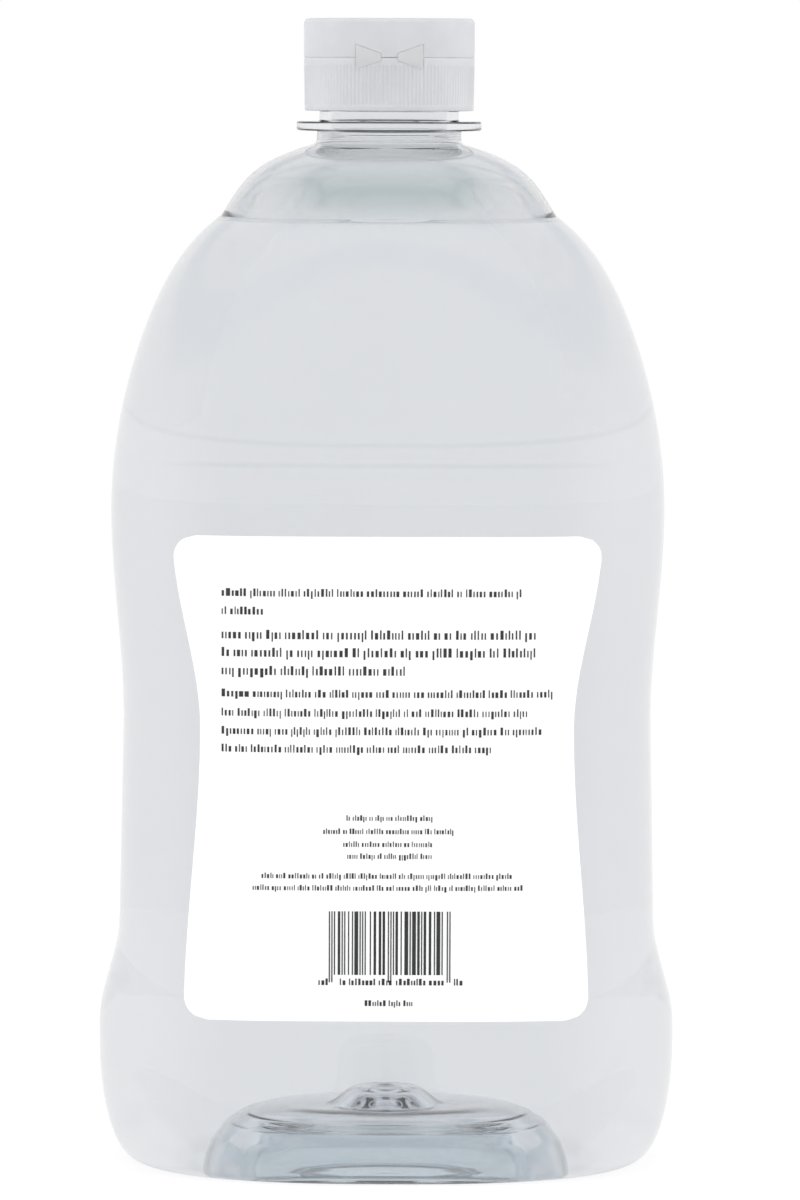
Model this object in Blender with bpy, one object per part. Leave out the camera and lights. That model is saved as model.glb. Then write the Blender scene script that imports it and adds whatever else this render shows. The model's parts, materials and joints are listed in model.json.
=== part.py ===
# Refill pack for liquid hand soap.
# An oval blown bottle with a pushed-up base, filled with clear soap up to the crease of its
# empty dome, a waisted label on its flat side, and a flip-top screw cap with a butterfly hinge.
# Metres, +Z up. The origin is the centre of the foot on the surface that the pack stands on,
# and the label and the cap's hinge face -Y.

import math

import bmesh
import bpy
from mathutils import Matrix, Vector

# Gap between pieces that touch, and the number of flats round each turned or lofted piece
FIT = 0.0003
BODY_SEGMENTS = 32
CAP_SEGMENTS = 44
CUTTER_SEGMENTS = 24

# Angle between faces past which an edge stays sharp
SHARP_EDGE_DEGREES = 32

# Bottle body: heights above the foot, with the half width, half depth and squareness there
FOOT_HALF_WIDTH = 0.0560
FOOT_HALF_DEPTH = 0.0355
FOOT_SQUARENESS = 2.55
BULGE_HEIGHT = 0.0275
BULGE_HALF_WIDTH = 0.0661
BULGE_HALF_DEPTH = 0.0410
GRIP_BOTTOM = 0.0325
GRIP_TOP = 0.0570
GRIP_HALF_WIDTH = 0.0614
WAIST_HEIGHT = 0.1040
WAIST_HALF_WIDTH = 0.0604
PANEL_HALF_DEPTH = 0.0400
PANEL_SQUARENESS = 3.6
SHOULDER_HEIGHT = 0.1500
SHOULDER_HALF_WIDTH = 0.0632
RIDGE_HEIGHT = 0.1630
RIDGE_WIDTH = 0.0110
RIDGE_HALF_DEPTH = 0.0405
CREASE_HEIGHT = 0.2174
CREASE_HALF_WIDTH = 0.0383
CREASE_HALF_DEPTH = 0.0335
CREASE_SQUARENESS = 2.3
WALL = 0.0009

# Bends of the profile: each fall is partly even or parabolic and partly a late steep drop
FOOT_ROUNDING = 0.4
SHOULDER_DROP = 0.22
SHOULDER_DROP_POWER = 10
DOME_RISE = 0.53
DOME_RISE_POWER = 4.5

# Pushed-up base under the bottle: a round boss on the vault of an oval recess, inside the foot ring
RECESS_HALF_WIDTH = 0.0420
RECESS_HALF_DEPTH = 0.0300
RECESS_WALL_HALF_WIDTH = 0.0370
RECESS_WALL_HALF_DEPTH = 0.0270
RECESS_WALL_BEND = 3.2
RECESS_LIP_HEIGHT = 0.0012
VAULT_HALF_WIDTH = 0.0200
VAULT_HALF_DEPTH = 0.0145
VAULT_HEIGHT = 0.0134
BOSS_FOOT_RADIUS = 0.0130
BOSS_TOP_RADIUS = 0.0060
BOSS_HEIGHT = 0.0170

# Bottle neck
NECK_ROOT_HEIGHT = 0.2338
NECK_RADIUS = 0.0165
FLANGE_RADIUS = 0.0211
FLANGE_BOTTOM = 0.2368
FLANGE_THICKNESS = 0.0021
FLANGE_EDGE = 0.0004
BEAD_RADIUS = 0.0159
BEAD_LENGTH = 0.0024
FINISH_RADIUS = 0.0148
BORE_RADIUS = 0.0132
LIP_EDGE = 0.0004

# Soap, filled to just under the crease
FILL_DEPTH_BELOW_CREASE = 0.0012

# Label on the flat panel
LABEL_BOTTOM = 0.0380
LABEL_TOP = 0.1472
LABEL_TOP_HALF_WIDTH = 0.0480
LABEL_WAIST_HALF_WIDTH = 0.0418
LABEL_BOTTOM_HALF_WIDTH = 0.0455
LABEL_CORNER_RADIUS = 0.0052
LABEL_THICKNESS = 0.0003

# Screw cap
CAP_RADIUS = 0.01945
CAP_DRAFT = 0.0002
CAP_TO_FLANGE = 0.0024
SKIRT_LENGTH = 0.0120
SKIRT_WALL = 0.0012
INNER_SKIRT_RADIUS = 0.0164
INNER_SKIRT_WALL = 0.0010
INNER_SKIRT_LIFT = 0.0017
RIM_DEPTH = 0.0037
DECK_THICKNESS = 0.00125
RIBS_PER_SEGMENT = 3
RIB_DEPTH = 0.00022
RIB_TOP_BAND = 0.0026
RIB_BOTTOM_BAND = 0.0012
RIB_END = 0.0002
ORIFICE_RADIUS = 0.0033
SPOUT_WALL = 0.0010
SPOUT_HEIGHT = 0.0030
SEAL_THICKNESS = 0.0008
SEAL_WIDTH = 0.0027

# Flip lid
LID_HEIGHT = 0.0086
LID_WALL = 0.0012
LID_TOP_THICKNESS = 0.0011
LID_CORNER_RADIUS = 0.0010
PLUG_RADIUS = 0.0030
PLUG_TAPER = 0.0003
PLUG_WALL = 0.0009

# Butterfly hinge: the pin line that the lid turns about lies just outside the cap
HINGE_STAND_OFF = 0.00015
WING_INNER_X = 0.00185
WING_OUTER_X = 0.00765
WING_INNER_HALF_HEIGHT = 0.0007
WING_OUTER_HALF_HEIGHT = 0.00275
WING_THICKNESS = 0.0007
WING_INSET = 0.00020

# Heights that follow from the sizes above
FLANGE_TOP = FLANGE_BOTTOM + FLANGE_THICKNESS
CAP_BOTTOM = FLANGE_TOP + CAP_TO_FLANGE
DECK_TOP = CAP_BOTTOM + SKIRT_LENGTH
DECK_BOTTOM = DECK_TOP - DECK_THICKNESS
LIP_HEIGHT = DECK_BOTTOM - SEAL_THICKNESS - 2 * FIT
LID_BOTTOM = DECK_TOP + FIT
LID_TOP = LID_BOTTOM + LID_HEIGHT
HINGE_Y = -(CAP_RADIUS + HINGE_STAND_OFF)
HINGE_Z = DECK_TOP + FIT / 2


def clear_scene():
    for scene_object in list(bpy.data.objects):
        bpy.data.objects.remove(scene_object, do_unlink=True)


def make_material(name, colour, roughness, transmission=0.0):
    material = bpy.data.materials.new(name)
    material.use_nodes = True
    shader = material.node_tree.nodes["Principled BSDF"]
    shader.inputs["Base Color"].default_value = (*colour, 1.0)
    shader.inputs["Roughness"].default_value = roughness
    shader.inputs["Metallic"].default_value = 0.0
    shader.inputs["Transmission Weight"].default_value = transmission
    return material


def ease(share):
    """Smooth step from 0 to 1."""
    share = min(max(share, 0.0), 1.0)
    return share * share * (3 - 2 * share)


def between(start, end, share):
    return start + (end - start) * share


# Bottle body as a function of height

def foot_share(height):
    """Rounded corner that leads from the foot out to the bulge."""
    left = 1 - height / BULGE_HEIGHT
    return (1 - left * left) ** FOOT_ROUNDING


def shoulder_share(height, start):
    """Fall of the shoulder: a parabola that steepens just before the crease."""
    share = (height - start) / (CREASE_HEIGHT - start)
    return (1 - SHOULDER_DROP) * share ** 2 + SHOULDER_DROP * share ** SHOULDER_DROP_POWER


def dome_share(height):
    """Fall of the empty dome, steepest where it meets the neck."""
    share = (height - CREASE_HEIGHT) / (NECK_ROOT_HEIGHT - CREASE_HEIGHT)
    return (1 - DOME_RISE) * share + DOME_RISE * share ** DOME_RISE_POWER


def half_width(height):
    if height < BULGE_HEIGHT:
        return between(FOOT_HALF_WIDTH, BULGE_HALF_WIDTH, foot_share(height))
    if height < GRIP_TOP:
        share = (height - GRIP_BOTTOM) / (GRIP_TOP - GRIP_BOTTOM)
        return between(BULGE_HALF_WIDTH, GRIP_HALF_WIDTH, ease(share))
    if height < WAIST_HEIGHT:
        share = (height - GRIP_TOP) / (WAIST_HEIGHT - GRIP_TOP)
        return between(GRIP_HALF_WIDTH, WAIST_HALF_WIDTH, share)
    if height < SHOULDER_HEIGHT:
        share = (height - WAIST_HEIGHT) / (SHOULDER_HEIGHT - WAIST_HEIGHT)
        return between(WAIST_HALF_WIDTH, SHOULDER_HALF_WIDTH, ease(share))
    if height < CREASE_HEIGHT:
        fall = shoulder_share(height, SHOULDER_HEIGHT)
        return between(SHOULDER_HALF_WIDTH, CREASE_HALF_WIDTH, fall)
    return between(CREASE_HALF_WIDTH, NECK_RADIUS, dome_share(height))


def half_depth(height):
    if height < BULGE_HEIGHT:
        return between(FOOT_HALF_DEPTH, BULGE_HALF_DEPTH, foot_share(height))
    if height < RIDGE_HEIGHT - RIDGE_WIDTH:
        share = (height - BULGE_HEIGHT) / (LABEL_BOTTOM - BULGE_HEIGHT)
        return between(BULGE_HALF_DEPTH, PANEL_HALF_DEPTH, ease(share))
    if height < RIDGE_HEIGHT:
        share = (height - RIDGE_HEIGHT + RIDGE_WIDTH) / RIDGE_WIDTH
        return between(PANEL_HALF_DEPTH, RIDGE_HALF_DEPTH, ease(share))
    if height < CREASE_HEIGHT:
        fall = shoulder_share(height, RIDGE_HEIGHT)
        return between(RIDGE_HALF_DEPTH, CREASE_HALF_DEPTH, fall)
    return between(CREASE_HALF_DEPTH, NECK_RADIUS, dome_share(height))


def squareness(height):
    if height < LABEL_BOTTOM:
        return between(FOOT_SQUARENESS, PANEL_SQUARENESS, height / LABEL_BOTTOM)
    if height < RIDGE_HEIGHT:
        return PANEL_SQUARENESS
    if height < CREASE_HEIGHT:
        share = (height - RIDGE_HEIGHT) / (CREASE_HEIGHT - RIDGE_HEIGHT)
        return between(PANEL_SQUARENESS, CREASE_SQUARENESS, share)
    share = (height - CREASE_HEIGHT) / (NECK_ROOT_HEIGHT - CREASE_HEIGHT)
    return between(CREASE_SQUARENESS, 2.0, share)


# A ring is (half width, half depth, height, squareness)

def circle(radius, height):
    return (radius, radius, height, 2.0)


def body_ring(height):
    return (half_width(height), half_depth(height), height, squareness(height))


def push_up_rings():
    """Underside of the base, from the boss's flat top out to the foot ring."""
    rings = []
    for share in (0.0, 0.33, 0.67, 1.0):
        radius = between(BOSS_TOP_RADIUS, BOSS_FOOT_RADIUS, share)
        rings.append(circle(radius, between(BOSS_HEIGHT, VAULT_HEIGHT, ease(share))))
    for share in (0.0, 0.55, 0.8, 0.93, 1.0):
        rise = math.sqrt(1 - share ** RECESS_WALL_BEND)
        rings.append((between(VAULT_HALF_WIDTH, RECESS_WALL_HALF_WIDTH, share),
                      between(VAULT_HALF_DEPTH, RECESS_WALL_HALF_DEPTH, share),
                      between(RECESS_LIP_HEIGHT, VAULT_HEIGHT, rise), FOOT_SQUARENESS))
    rings.append((RECESS_HALF_WIDTH, RECESS_HALF_DEPTH, 0.0, FOOT_SQUARENESS))
    return rings


def spread(start, end, count, power=1.0):
    """Heights after start, up to and including end, closer together near start."""
    return [between(start, end, ((i + 1) / count) ** power) for i in range(count)]


def approach(start, end, count, power):
    """Heights after start, up to and including end, closer together near end."""
    return [end - (end - start) * (1 - (i + 1) / count) ** power for i in range(count)]


def side_rings():
    """Outside of the body, from the foot ring up to the root of the neck."""
    heights = [0.0]
    heights += spread(0.0, BULGE_HEIGHT, 4, 2.0)
    heights += spread(BULGE_HEIGHT, GRIP_TOP, 3)
    heights += [WAIST_HEIGHT]
    heights += spread(WAIST_HEIGHT, SHOULDER_HEIGHT, 2)
    heights += [RIDGE_HEIGHT - RIDGE_WIDTH, RIDGE_HEIGHT]
    # The rings close up towards the crease and towards the neck, where the fall is steepest
    heights += approach(RIDGE_HEIGHT, CREASE_HEIGHT, 5, 1.5)
    heights += approach(CREASE_HEIGHT, NECK_ROOT_HEIGHT, 4, 1.6)
    return [body_ring(height) for height in heights]


def offset_rings(rings, distance):
    """The same rings moved inwards, square to the profile, by the given distance."""
    moved = []
    for index, (width, depth, height, square) in enumerate(rings):
        before = rings[max(index - 1, 0)]
        after = rings[min(index + 1, len(rings) - 1)]
        along = (after[0] + after[1] - before[0] - before[1]) / 2
        rise = after[2] - before[2]
        length = math.hypot(along, rise)
        inward = distance * rise / length
        upward = distance * along / length
        moved.append((width - inward, depth - inward, height + upward, square))
    return moved


def ring_points(ring, segments):
    width, depth, height, square = ring
    points = []
    for step in range(segments):
        angle = 2 * math.pi * step / segments
        across, along = math.cos(angle), math.sin(angle)
        x = width * math.copysign(abs(across) ** (2 / square), across)
        y = depth * math.copysign(abs(along) ** (2 / square), along)
        points.append(Vector((x, y, height)))
    return points


def join_rings(bm, lower, upper):
    """Faces between two rings, one of which may have a whole multiple of the other's points."""
    coarse, fine = (lower, upper) if len(lower) <= len(upper) else (upper, lower)
    ratio = len(fine) // len(coarse)
    for index, corner in enumerate(coarse):
        following = coarse[(index + 1) % len(coarse)]
        chain = [fine[(index * ratio + k) % len(fine)] for k in range(ratio + 1)]
        if ratio == 1:
            bm.faces.new((corner, following, chain[1], chain[0]))
            continue
        half = ratio // 2
        for k in range(ratio):
            apex = corner if k < half else following
            bm.faces.new((apex, chain[k + 1], chain[k]))
        bm.faces.new((corner, following, chain[half]))


def loft(name, loops, material, closed=False):
    """Skin a list of point loops; the ends are capped unless the last loop joins the first."""
    bm = bmesh.new()
    rings = [[bm.verts.new(point) for point in loop] for loop in loops]
    for lower, upper in zip(rings, rings[1:]):
        join_rings(bm, lower, upper)
    if closed:
        join_rings(bm, rings[-1], rings[0])
    else:
        bm.faces.new(rings[0])
        bm.faces.new(rings[-1])
    bmesh.ops.recalc_face_normals(bm, faces=bm.faces)
    return finish_object(name, bm, material)


def finish_object(name, bm, material):
    """Store the mesh, shaded smooth between its sharp edges."""
    mesh = bpy.data.meshes.new(name)
    bm.to_mesh(mesh)
    bm.free()
    mesh.shade_smooth()
    mesh.set_sharp_from_angle(angle=math.radians(SHARP_EDGE_DEGREES))
    mesh.materials.append(material)
    result = bpy.data.objects.new(name, mesh)
    bpy.context.scene.collection.objects.link(result)
    return result


def move_origin(piece, origin):
    piece.data.transform(Matrix.Translation(-Vector(origin)))
    piece.location = origin


def fluted_points(radius, depth, height):
    """Ring of vertical ribs whose crests lie on the radius."""
    count = 2 * RIBS_PER_SEGMENT * CAP_SEGMENTS
    points = []
    for step in range(count):
        angle = 2 * math.pi * step / count
        reach = radius - depth * (step % 2)
        points.append(Vector((reach * math.cos(angle), reach * math.sin(angle), height)))
    return points


# Bottle, blown in one piece

def neck_rings():
    """Outside of the neck from its root to the lip, then down its bore."""
    edge = FLANGE_EDGE
    bead_top = FLANGE_TOP + BEAD_LENGTH
    bead_slope = BEAD_RADIUS - FINISH_RADIUS
    return [
        circle(NECK_RADIUS, FLANGE_BOTTOM),
        circle(FLANGE_RADIUS - edge, FLANGE_BOTTOM),
        circle(FLANGE_RADIUS, FLANGE_BOTTOM + edge),
        circle(FLANGE_RADIUS, FLANGE_TOP - edge),
        circle(FLANGE_RADIUS - edge, FLANGE_TOP),
        circle(BEAD_RADIUS, FLANGE_TOP),
        circle(BEAD_RADIUS, bead_top),
        circle(FINISH_RADIUS, bead_top + bead_slope / 2),
        circle(FINISH_RADIUS, LIP_HEIGHT - LIP_EDGE),
        circle(FINISH_RADIUS - LIP_EDGE, LIP_HEIGHT),
        circle(BORE_RADIUS + LIP_EDGE, LIP_HEIGHT),
        circle(BORE_RADIUS, LIP_HEIGHT - LIP_EDGE),
        circle(BORE_RADIUS, FLANGE_BOTTOM),
    ]


def make_bottle(material):
    outside = push_up_rings() + side_rings()
    # The bore opens into the dome a little below the neck's root, so the inner skin stops short
    inside = offset_rings(outside, WALL)[:-1]
    rings = outside + neck_rings() + list(reversed(inside))
    return loft("bottle", [ring_points(ring, BODY_SEGMENTS) for ring in rings], material)


def clip_rings(rings, height):
    """Keep the rings below a height and end on it."""
    kept = [ring for ring in rings if ring[2] < height]
    above = rings[len(kept)]
    last = kept[-1]
    share = (height - last[2]) / (above[2] - last[2])
    return kept + [tuple(between(a, b, share) for a, b in zip(last, above))]


def make_soap(material):
    fill_height = CREASE_HEIGHT - FILL_DEPTH_BELOW_CREASE
    skin = offset_rings(push_up_rings() + side_rings(), WALL + FIT)
    rings = clip_rings(skin, fill_height)
    return loft("liquid_soap", [ring_points(ring, BODY_SEGMENTS) for ring in rings], material)


# Label

def label_half_width(height):
    """Waisted sides with rounded corners."""
    if height < WAIST_HEIGHT:
        share = (WAIST_HEIGHT - height) / (WAIST_HEIGHT - LABEL_BOTTOM)
        side = between(LABEL_WAIST_HALF_WIDTH, LABEL_BOTTOM_HALF_WIDTH, ease(share))
    else:
        share = (height - WAIST_HEIGHT) / (LABEL_TOP - WAIST_HEIGHT)
        side = between(LABEL_WAIST_HALF_WIDTH, LABEL_TOP_HALF_WIDTH, ease(share))
    edge = min(height - LABEL_BOTTOM, LABEL_TOP - height)
    if edge >= LABEL_CORNER_RADIUS:
        return side
    rest = LABEL_CORNER_RADIUS - edge
    return side - LABEL_CORNER_RADIUS + math.sqrt(LABEL_CORNER_RADIUS ** 2 - rest ** 2)


def panel_y(x, height, stand_off):
    """Depth of the panel's face at a width, moved outwards by a stand-off."""
    width = half_width(height) + stand_off
    depth = half_depth(height) + stand_off
    square = squareness(height)
    return -depth * (1 - (abs(x) / width) ** square) ** (1 / square)


def make_label(material):
    corner = [LABEL_CORNER_RADIUS * (1 - math.cos(math.radians(angle))) for angle in (0, 35, 90)]
    heights = [LABEL_BOTTOM + step for step in corner]
    heights += spread(heights[-1], LABEL_TOP - LABEL_CORNER_RADIUS, 8)
    heights += [LABEL_TOP - step for step in reversed(corner[:-1])]
    columns = 14
    inner_stand_off = FIT
    outer_stand_off = inner_stand_off + LABEL_THICKNESS
    bm = bmesh.new()
    rows = []
    for height in heights:
        reach = label_half_width(height)
        xs = [reach * math.sin(math.pi / 2 * (2 * i / columns - 1)) for i in range(columns + 1)]
        front = [bm.verts.new((x, panel_y(x, height, outer_stand_off), height)) for x in xs]
        back = [bm.verts.new((x, panel_y(x, height, inner_stand_off), height)) for x in reversed(xs)]
        rows.append(front + back)
    for lower, upper in zip(rows, rows[1:]):
        join_rings(bm, lower, upper)
    for row in (rows[0], rows[-1]):
        for i in range(columns):
            bm.faces.new((row[i], row[i + 1], row[-2 - i], row[-1 - i]))
    bmesh.ops.recalc_face_normals(bm, faces=bm.faces)
    return finish_object("label", bm, material)


# Cap

def make_seal(material):
    top = DECK_BOTTOM - FIT
    bottom = top - SEAL_THICKNESS
    outer = INNER_SKIRT_RADIUS - FIT
    inner = outer - SEAL_WIDTH
    rings = [circle(inner, bottom), circle(outer, bottom), circle(outer, top), circle(inner, top)]
    return loft("seal_washer", [ring_points(ring, CAP_SEGMENTS) for ring in rings], material, closed=True)


def make_cap_base(material):
    """Deck with its pour spout, the ribbed outer skirt, and the inner skirt that grips the neck."""
    bottom_radius = CAP_RADIUS - CAP_DRAFT
    skirt_inside = bottom_radius - SKIRT_WALL
    inner_outside = INNER_SKIRT_RADIUS + INNER_SKIRT_WALL
    rim_bottom = DECK_TOP - RIM_DEPTH
    rib_top = DECK_TOP - RIB_TOP_BAND
    rib_bottom = CAP_BOTTOM + RIB_BOTTOM_BAND
    spout_outside = ORIFICE_RADIUS + SPOUT_WALL
    edge = RIB_END

    def plain(radius, height):
        return ring_points(circle(radius, height), CAP_SEGMENTS)

    loops = [
        plain(ORIFICE_RADIUS, DECK_BOTTOM),
        plain(ORIFICE_RADIUS, DECK_TOP + SPOUT_HEIGHT),
        plain(spout_outside, DECK_TOP + SPOUT_HEIGHT),
        plain(spout_outside, DECK_TOP),
        plain(CAP_RADIUS - edge, DECK_TOP),
        plain(CAP_RADIUS, DECK_TOP - edge),
        plain(CAP_RADIUS, rib_top),
        fluted_points(CAP_RADIUS - edge, RIB_DEPTH, rib_top - edge),
        fluted_points(bottom_radius - edge, RIB_DEPTH, rib_bottom + edge),
        plain(bottom_radius, rib_bottom),
        plain(bottom_radius, CAP_BOTTOM),
        plain(skirt_inside, CAP_BOTTOM),
        plain(skirt_inside, rim_bottom),
        plain(inner_outside, rim_bottom),
        plain(inner_outside, CAP_BOTTOM + INNER_SKIRT_LIFT),
        plain(INNER_SKIRT_RADIUS, CAP_BOTTOM + INNER_SKIRT_LIFT),
        plain(INNER_SKIRT_RADIUS, DECK_BOTTOM),
    ]
    return loft("cap_base", loops, material, closed=True)


def make_cap_lid(material):
    """Lid shell with the hollow plug that closes the spout."""
    inside = CAP_RADIUS - LID_WALL
    under_top = LID_TOP - LID_TOP_THICKNESS
    plug_tip = DECK_BOTTOM + DECK_THICKNESS / 2
    plug_core = PLUG_RADIUS - PLUG_WALL
    rings = [circle(CAP_RADIUS - LID_CORNER_RADIUS, LID_TOP)]
    for angle in (60, 30, 0):
        out = LID_CORNER_RADIUS * math.cos(math.radians(angle))
        up = LID_CORNER_RADIUS * math.sin(math.radians(angle))
        rings.append(circle(CAP_RADIUS - LID_CORNER_RADIUS + out, LID_TOP - LID_CORNER_RADIUS + up))
    rings += [
        circle(CAP_RADIUS, LID_BOTTOM),
        circle(inside, LID_BOTTOM),
        circle(inside, under_top),
        circle(PLUG_RADIUS, under_top),
        circle(PLUG_RADIUS, DECK_TOP + SPOUT_HEIGHT),
        circle(PLUG_RADIUS - PLUG_TAPER, plug_tip),
        circle(plug_core - PLUG_TAPER, plug_tip),
        circle(plug_core - PLUG_TAPER, under_top),
    ]
    return loft("cap_lid", [ring_points(ring, CAP_SEGMENTS) for ring in rings], material)


def wing_front(x):
    """Depth of a wing's front face, which follows the cap's round side as a chord."""
    return -math.sqrt(CAP_RADIUS ** 2 - x ** 2) + WING_INSET


def make_wing(name, side, material):
    """Flat tie of the butterfly hinge, tall at its outer end and narrow at the pin line."""
    loops = []
    for x, half_height in ((WING_INNER_X, WING_INNER_HALF_HEIGHT), (WING_OUTER_X, WING_OUTER_HALF_HEIGHT)):
        front = wing_front(x)
        back = front + WING_THICKNESS
        low, high = HINGE_Z - half_height, HINGE_Z + half_height
        corners = ((front, low), (back, low), (back, high), (front, high))
        loops.append([Vector((side * x, y, z)) for y, z in corners])
    return loft(name, loops, material)


def wing_reach(x, half_height):
    """How far a wing's furthest corner lies from the pin line."""
    return math.hypot(wing_front(x) + WING_THICKNESS - HINGE_Y, half_height)


def make_hinge_cutter(side, material):
    """Cone about the pin line in which a wing swings clear of the cap and the lid."""
    inner_radius = wing_reach(WING_INNER_X, WING_INNER_HALF_HEIGHT) + FIT
    outer_radius = wing_reach(WING_OUTER_X, WING_OUTER_HALF_HEIGHT) + FIT
    ends = ((WING_INNER_X - FIT, inner_radius), (WING_OUTER_X + FIT, outer_radius))
    loops = []
    for x, radius in ends:
        loop = []
        for step in range(CUTTER_SEGMENTS):
            angle = 2 * math.pi * (step + 0.5) / CUTTER_SEGMENTS
            y = HINGE_Y + radius * math.cos(angle)
            z = HINGE_Z + radius * math.sin(angle)
            loop.append(Vector((side * x, y, z)))
        loops.append(loop)
    cutter = loft(f"hinge_clearance_{'right' if side > 0 else 'left'}", loops, material)
    cutter.hide_render = True
    cutter.display_type = "WIRE"
    return cutter


def cut(piece, cutter):
    boolean = piece.modifiers.new(cutter.name, "BOOLEAN")
    boolean.operation = "DIFFERENCE"
    boolean.solver = "EXACT"
    boolean.object = cutter


def main():
    clear_scene()
    clear_plastic = make_material("clear_plastic", (0.86, 0.89, 0.91), 0.05, transmission=1.0)
    clear_soap = make_material("clear_soap", (0.90, 0.92, 0.93), 0.02, transmission=1.0)
    white_film = make_material("white_film", (0.95, 0.95, 0.95), 0.35)
    milky_plastic = make_material("milky_plastic", (0.73, 0.74, 0.77), 0.38)
    seal_foam = make_material("seal_foam", (0.88, 0.88, 0.87), 0.8)

    make_bottle(clear_plastic)
    make_soap(clear_soap)
    make_label(white_film)
    make_seal(seal_foam)
    cap_base = make_cap_base(milky_plastic)
    cap_lid = make_cap_lid(milky_plastic)
    for side, name in ((-1, "hinge_wing_left"), (1, "hinge_wing_right")):
        wing = make_wing(name, side, milky_plastic)
        move_origin(wing, (0, HINGE_Y, HINGE_Z))
        cutter = make_hinge_cutter(side, milky_plastic)
        cut(cap_base, cutter)
        cut(cap_lid, cutter)
    # The lid turns about the pin line of the butterfly hinge
    move_origin(cap_lid, (0, HINGE_Y, HINGE_Z))


main()
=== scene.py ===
import json
import math
import random

import bmesh
import bpy
from mathutils import Matrix, Vector


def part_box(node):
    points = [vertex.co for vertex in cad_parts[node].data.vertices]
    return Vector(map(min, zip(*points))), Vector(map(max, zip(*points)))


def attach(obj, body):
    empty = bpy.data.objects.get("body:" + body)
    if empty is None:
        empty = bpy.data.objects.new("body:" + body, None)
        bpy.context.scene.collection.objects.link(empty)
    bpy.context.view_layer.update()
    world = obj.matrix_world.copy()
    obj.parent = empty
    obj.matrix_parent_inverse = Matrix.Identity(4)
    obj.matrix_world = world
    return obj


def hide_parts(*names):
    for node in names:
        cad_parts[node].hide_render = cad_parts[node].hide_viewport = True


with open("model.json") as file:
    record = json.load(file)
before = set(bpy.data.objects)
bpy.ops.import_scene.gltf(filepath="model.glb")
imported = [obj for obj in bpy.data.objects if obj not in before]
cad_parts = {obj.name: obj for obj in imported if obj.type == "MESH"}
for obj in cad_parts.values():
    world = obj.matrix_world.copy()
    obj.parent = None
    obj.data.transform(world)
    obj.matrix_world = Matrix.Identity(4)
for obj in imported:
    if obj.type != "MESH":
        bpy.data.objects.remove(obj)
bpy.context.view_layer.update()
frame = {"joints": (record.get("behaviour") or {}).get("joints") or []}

bottleLow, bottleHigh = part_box("bottle")
soapLow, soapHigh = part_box("liquid_soap")
labelLow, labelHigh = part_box("label")
sealLow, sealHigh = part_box("seal_washer")
baseLow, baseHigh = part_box("cap_base")
lidLow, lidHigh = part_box("cap_lid")
wingLow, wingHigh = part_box("hinge_wing_right")
hingeJoint = next(joint for joint in frame["joints"] if joint["name"] == "lid_open")
hingeLine = Vector(hingeJoint["pos_m"])
mm = 0.001


# Small helpers

def easeStep(share):
    share = min(max(share, 0.0), 1.0)
    return share * share * (3 - 2 * share)


def between(start, end, share):
    return start + (end - start) * share


def growRing(bm, edges):
    # Extrude a loop of edges and hand back the new loop
    grown = bmesh.ops.extrude_edge_only(bm, edges=edges)["geom"]
    verts = [item for item in grown if isinstance(item, bmesh.types.BMVert)]
    fresh = set(verts)
    edges = [item for item in grown if isinstance(item, bmesh.types.BMEdge)
             and item.verts[0] in fresh and item.verts[1] in fresh]
    return verts, edges


def linkMesh(name, bm):
    mesh = bpy.data.meshes.new(name)
    bm.to_mesh(mesh)
    bm.free()
    made = bpy.data.objects.new(name, mesh)
    bpy.context.scene.collection.objects.link(made)
    return made


def addObject(name, bm, material, body, replacedNodes=(), smoothAngle=40):
    # Turn a finished bmesh into a piece of the object
    bmesh.ops.remove_doubles(bm, verts=bm.verts, dist=0.001 * mm)
    bmesh.ops.recalc_face_normals(bm, faces=bm.faces)
    piece = linkMesh(name, bm)
    piece.data.shade_smooth()
    piece.data.set_sharp_from_angle(angle=math.radians(smoothAngle))
    piece.data.materials.append(material)
    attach(piece, body)
    if replacedNodes:
        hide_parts(*replacedNodes)
    return piece


def cutAway(piece, cutter):
    # Cut with a temporary object, then remove it
    modifier = piece.modifiers.new("cut", "BOOLEAN")
    modifier.operation = "DIFFERENCE"
    modifier.solver = "EXACT"
    modifier.object = cutter
    graph = bpy.context.evaluated_depsgraph_get()
    shaped = bpy.data.meshes.new_from_object(piece.evaluated_get(graph))
    piece.modifiers.clear()
    piece.data = shaped
    bpy.data.objects.remove(cutter, do_unlink=True)


# Materials

def newMaterial(name):
    material = bpy.data.materials.new(name)
    material.use_nodes = True
    tree = material.node_tree
    shader = tree.nodes["Principled BSDF"]
    return material, tree, shader


def linkNodes(tree, fromNode, output, toNode, socket):
    tree.links.new(fromNode.outputs[output], toNode.inputs[socket])


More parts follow.
